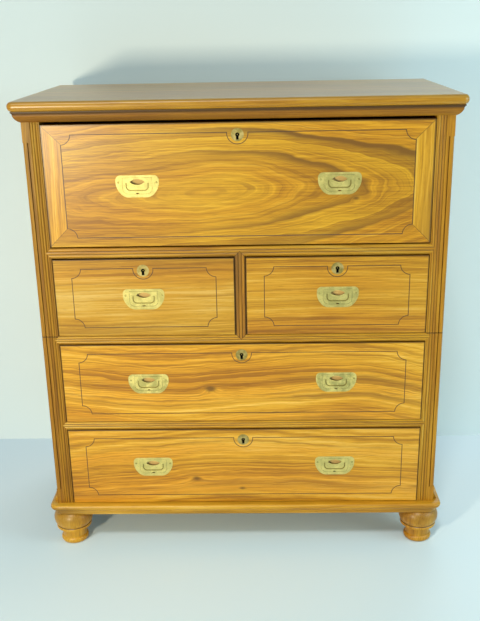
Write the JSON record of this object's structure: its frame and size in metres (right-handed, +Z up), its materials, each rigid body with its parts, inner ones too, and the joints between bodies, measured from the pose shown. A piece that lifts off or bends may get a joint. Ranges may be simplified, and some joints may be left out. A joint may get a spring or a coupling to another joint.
{
  "type": "secretaire chest",
  "caption": "Campaign chest in separate upper and lower sections on turned feet, with a fall-front secretaire drawer over short and long drawers with flush brass handles.",
  "frame": {"origin": "on the floor, under the middle of the whole object's plan", "axes": "+Z up, +X to the right of someone facing the drawers, the drawers' fronts face -Y"},
  "size_m": [0.998, 0.512, 1.118],
  "materials": {
    "camphorwood": "polished",
    "lining_wood": "matt",
    "brass": "satin"
  },
  "bodies": {
    "case": {"turned_feet": "camphorwood", "base_plinth": "camphorwood", "base_side_moulds": "camphorwood", "lower_stile_left": "camphorwood", "upper_stile_left": "camphorwood", "lower_stile_right": "camphorwood", "upper_stile_right": "camphorwood", "lower_middle_rail": "camphorwood", "lower_top_rail": "camphorwood", "secretaire_rail": "camphorwood", "drawer_muntin": "camphorwood", "lower_sides": "camphorwood", "lower_dust_board": "lining_wood", "lower_top_board": "lining_wood", "lower_back": "lining_wood", "upper_sides": "camphorwood", "upper_bottom_board": "lining_wood", "secretaire_dust_board": "lining_wood", "drawer_partition": "lining_wood", "upper_back": "lining_wood", "upper_case_top": "camphorwood", "top_mould": "camphorwood", "top_board": "camphorwood"},
    "secretaire_drawer": {"secretaire_carcass": "lining_wood", "writing_board": "camphorwood", "pigeonhole_case": "lining_wood", "fall_hinge_arms": "brass"},
    "fall": {"fall_panel": "camphorwood", "fall_clamps": "camphorwood", "fall_handle_plates": "brass", "fall_lock": "brass", "fall_stays": "brass"},
    "fall_bail_left": {"fall_bail_left": "brass"},
    "fall_bail_right": {"fall_bail_right": "brass"},
    "small_drawer_left": {"small_drawer_left": "lining_wood"},
    "small_drawer_middle": {"small_drawer_middle": "lining_wood"},
    "small_drawer_right": {"small_drawer_right": "lining_wood"},
    "short_left_drawer": {"short_left_drawer_front": "camphorwood", "short_left_drawer_carcass": "lining_wood", "short_left_drawer_handle_plates": "brass", "short_left_drawer_lock": "brass"},
    "short_left_drawer_bail_left": {"short_left_drawer_bail_left": "brass"},
    "short_right_drawer": {"short_right_drawer_front": "camphorwood", "short_right_drawer_carcass": "lining_wood", "short_right_drawer_handle_plates": "brass", "short_right_drawer_lock": "brass"},
    "short_right_drawer_bail_right": {"short_right_drawer_bail_right": "brass"},
    "upper_drawer": {"upper_drawer_front": "camphorwood", "upper_drawer_carcass": "lining_wood", "upper_drawer_handle_plates": "brass", "upper_drawer_lock": "brass"},
    "upper_drawer_bail_left": {"upper_drawer_bail_left": "brass"},
    "upper_drawer_bail_right": {"upper_drawer_bail_right": "brass"},
    "lower_drawer": {"lower_drawer_front": "camphorwood", "lower_drawer_carcass": "lining_wood", "lower_drawer_handle_plates": "brass", "lower_drawer_lock": "brass"},
    "lower_drawer_bail_left": {"lower_drawer_bail_left": "brass"},
    "lower_drawer_bail_right": {"lower_drawer_bail_right": "brass"}
  },
  "joints": [
    {"name": "secretaire_slide", "type": "slide", "parent": "case", "child": "secretaire_drawer", "axis": [0, -1, 0], "range_m": [0, 0.25]},
    {"name": "fall_hinge", "type": "hinge", "parent": "secretaire_drawer", "child": "fall", "pos_m": [0, -0.224, 0.8075], "axis": [1, 0, 0], "range_deg": [0, 90]},
    {"name": "fall_bail_left_swing", "type": "hinge", "parent": "fall", "child": "fall_bail_left", "pos_m": [-0.226, -0.2313, 0.94375], "axis": [-1, 0, 0], "range_deg": [0, 95]},
    {"name": "fall_bail_right_swing", "type": "hinge", "parent": "fall", "child": "fall_bail_right", "pos_m": [0.226, -0.2313, 0.94375], "axis": [-1, 0, 0], "range_deg": [0, 95]},
    {"name": "small_drawer_left_slide", "type": "slide", "parent": "secretaire_drawer", "child": "small_drawer_left", "axis": [0, -1, 0], "range_m": [0, 0.14]},
    {"name": "small_drawer_middle_slide", "type": "slide", "parent": "secretaire_drawer", "child": "small_drawer_middle", "axis": [0, -1, 0], "range_m": [0, 0.14]},
    {"name": "small_drawer_right_slide", "type": "slide", "parent": "secretaire_drawer", "child": "small_drawer_right", "axis": [0, -1, 0], "range_m": [0, 0.14]},
    {"name": "short_left_drawer_slide", "type": "slide", "parent": "case", "child": "short_left_drawer", "axis": [0, -1, 0], "range_m": [0, 0.3]},
    {"name": "short_left_drawer_bail_left_swing", "type": "hinge", "parent": "short_left_drawer", "child": "short_left_drawer_bail_left", "pos_m": [-0.226, -0.2313, 0.67825], "axis": [-1, 0, 0], "range_deg": [0, 95]},
    {"name": "short_right_drawer_slide", "type": "slide", "parent": "case", "child": "short_right_drawer", "axis": [0, -1, 0], "range_m": [0, 0.3]},
    {"name": "short_right_drawer_bail_right_swing", "type": "hinge", "parent": "short_right_drawer", "child": "short_right_drawer_bail_right", "pos_m": [0.226, -0.2313, 0.67825], "axis": [-1, 0, 0], "range_deg": [0, 95]},
    {"name": "upper_drawer_slide", "type": "slide", "parent": "case", "child": "upper_drawer", "axis": [0, -1, 0], "range_m": [0, 0.33]},
    {"name": "upper_drawer_bail_left_swing", "type": "hinge", "parent": "upper_drawer", "child": "upper_drawer_bail_left", "pos_m": [-0.226, -0.2313, 0.46325], "axis": [-1, 0, 0], "range_deg": [0, 95]},
    {"name": "upper_drawer_bail_right_swing", "type": "hinge", "parent": "upper_drawer", "child": "upper_drawer_bail_right", "pos_m": [0.226, -0.2313, 0.46325], "axis": [-1, 0, 0], "range_deg": [0, 95]},
    {"name": "lower_drawer_slide", "type": "slide", "parent": "case", "child": "lower_drawer", "axis": [0, -1, 0], "range_m": [0, 0.33]},
    {"name": "lower_drawer_bail_left_swing", "type": "hinge", "parent": "lower_drawer", "child": "lower_drawer_bail_left", "pos_m": [-0.226, -0.2313, 0.238], "axis": [-1, 0, 0], "range_deg": [0, 95]},
    {"name": "lower_drawer_bail_right_swing", "type": "hinge", "parent": "lower_drawer", "child": "lower_drawer_bail_right", "pos_m": [0.226, -0.2313, 0.238], "axis": [-1, 0, 0], "range_deg": [0, 95]}
  ]
}
